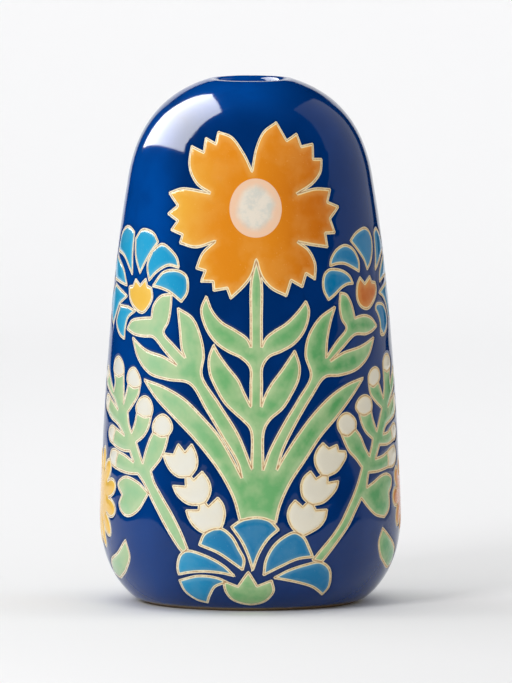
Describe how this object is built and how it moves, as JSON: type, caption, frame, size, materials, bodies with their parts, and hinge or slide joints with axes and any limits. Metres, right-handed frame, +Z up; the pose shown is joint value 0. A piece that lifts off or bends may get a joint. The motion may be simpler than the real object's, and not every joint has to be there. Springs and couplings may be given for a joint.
{
  "type": "flower vase",
  "caption": "Round-shouldered pottery vase with a narrow mouth, a blue glaze coat and flowers in coloured glaze pools between bare clay lines.",
  "frame": {"origin": "middle of the foot ring, on the surface that the vase stands on", "axes": "+Z up through the mouth; -Y is the front, towards the middle of the picture; +X to the right seen from the front"},
  "size_m": [0.1438, 0.1436, 0.2499],
  "materials": {
    "bare_clay": "matt biscuit earthenware",
    "ground_blue": "glossy cobalt glaze",
    "liner_blue": "glossy thinner blue glaze",
    "flower_orange": "glossy orange glaze",
    "leaf_green": "glossy pale green glaze",
    "petal_turquoise": "glossy turquoise glaze",
    "bud_white": "glossy white glaze",
    "disc_cream": "glossy cream glaze"
  },
  "bodies": {
    "root": {"clay_body": "bare_clay", "liner_glaze": "liner_blue", "ground_glaze": "ground_blue", "big_flower": "flower_orange", "big_flower_disc": "disc_cream", "plant": "leaf_green", "calyx": "leaf_green", "heart_leaf_left": "leaf_green", "side_leaf_left": "leaf_green", "side_leaf_right": "leaf_green", "side_daisy_left": "flower_orange", "side_daisy_right": "flower_orange", "side_heart_left": "flower_orange", "side_heart_right": "flower_orange", "sprig_left": "leaf_green", "sprig_right": "leaf_green", "side_petal_left_1": "petal_turquoise", "side_petal_left_2": "petal_turquoise", "side_petal_left_3": "petal_turquoise", "side_petal_left_4": "petal_turquoise", "side_petal_left_5": "petal_turquoise", "side_petal_left_6": "petal_turquoise", "side_petal_left_7": "petal_turquoise", "side_petal_right_1": "petal_turquoise", "side_petal_right_2": "petal_turquoise", "side_petal_right_3": "petal_turquoise", "side_petal_right_4": "petal_turquoise", "side_petal_right_5": "petal_turquoise", "side_petal_right_6": "petal_turquoise", "side_petal_right_7": "petal_turquoise", "tulip_left_1": "bud_white", "tulip_left_2": "bud_white", "tulip_left_3": "bud_white", "tulip_right_1": "bud_white", "tulip_right_2": "bud_white", "tulip_right_3": "bud_white", "bud_left_1": "bud_white", "bud_left_2": "bud_white", "bud_left_3": "bud_white", "bud_left_4": "bud_white", "bud_left_5": "bud_white", "bud_left_6": "bud_white", "bud_left_7": "bud_white", "bud_left_8": "bud_white", "bud_right_1": "bud_white", "bud_right_2": "bud_white", "bud_right_3": "bud_white", "bud_right_4": "bud_white", "bud_right_5": "bud_white", "bud_right_6": "bud_white", "bud_right_7": "bud_white", "bud_right_8": "bud_white", "foot_petal_1": "petal_turquoise", "foot_petal_2": "petal_turquoise", "foot_petal_3": "petal_turquoise", "foot_petal_4": "petal_turquoise", "foot_petal_5": "petal_turquoise", "foot_petal_6": "petal_turquoise"}
  },
  "joints": []
}
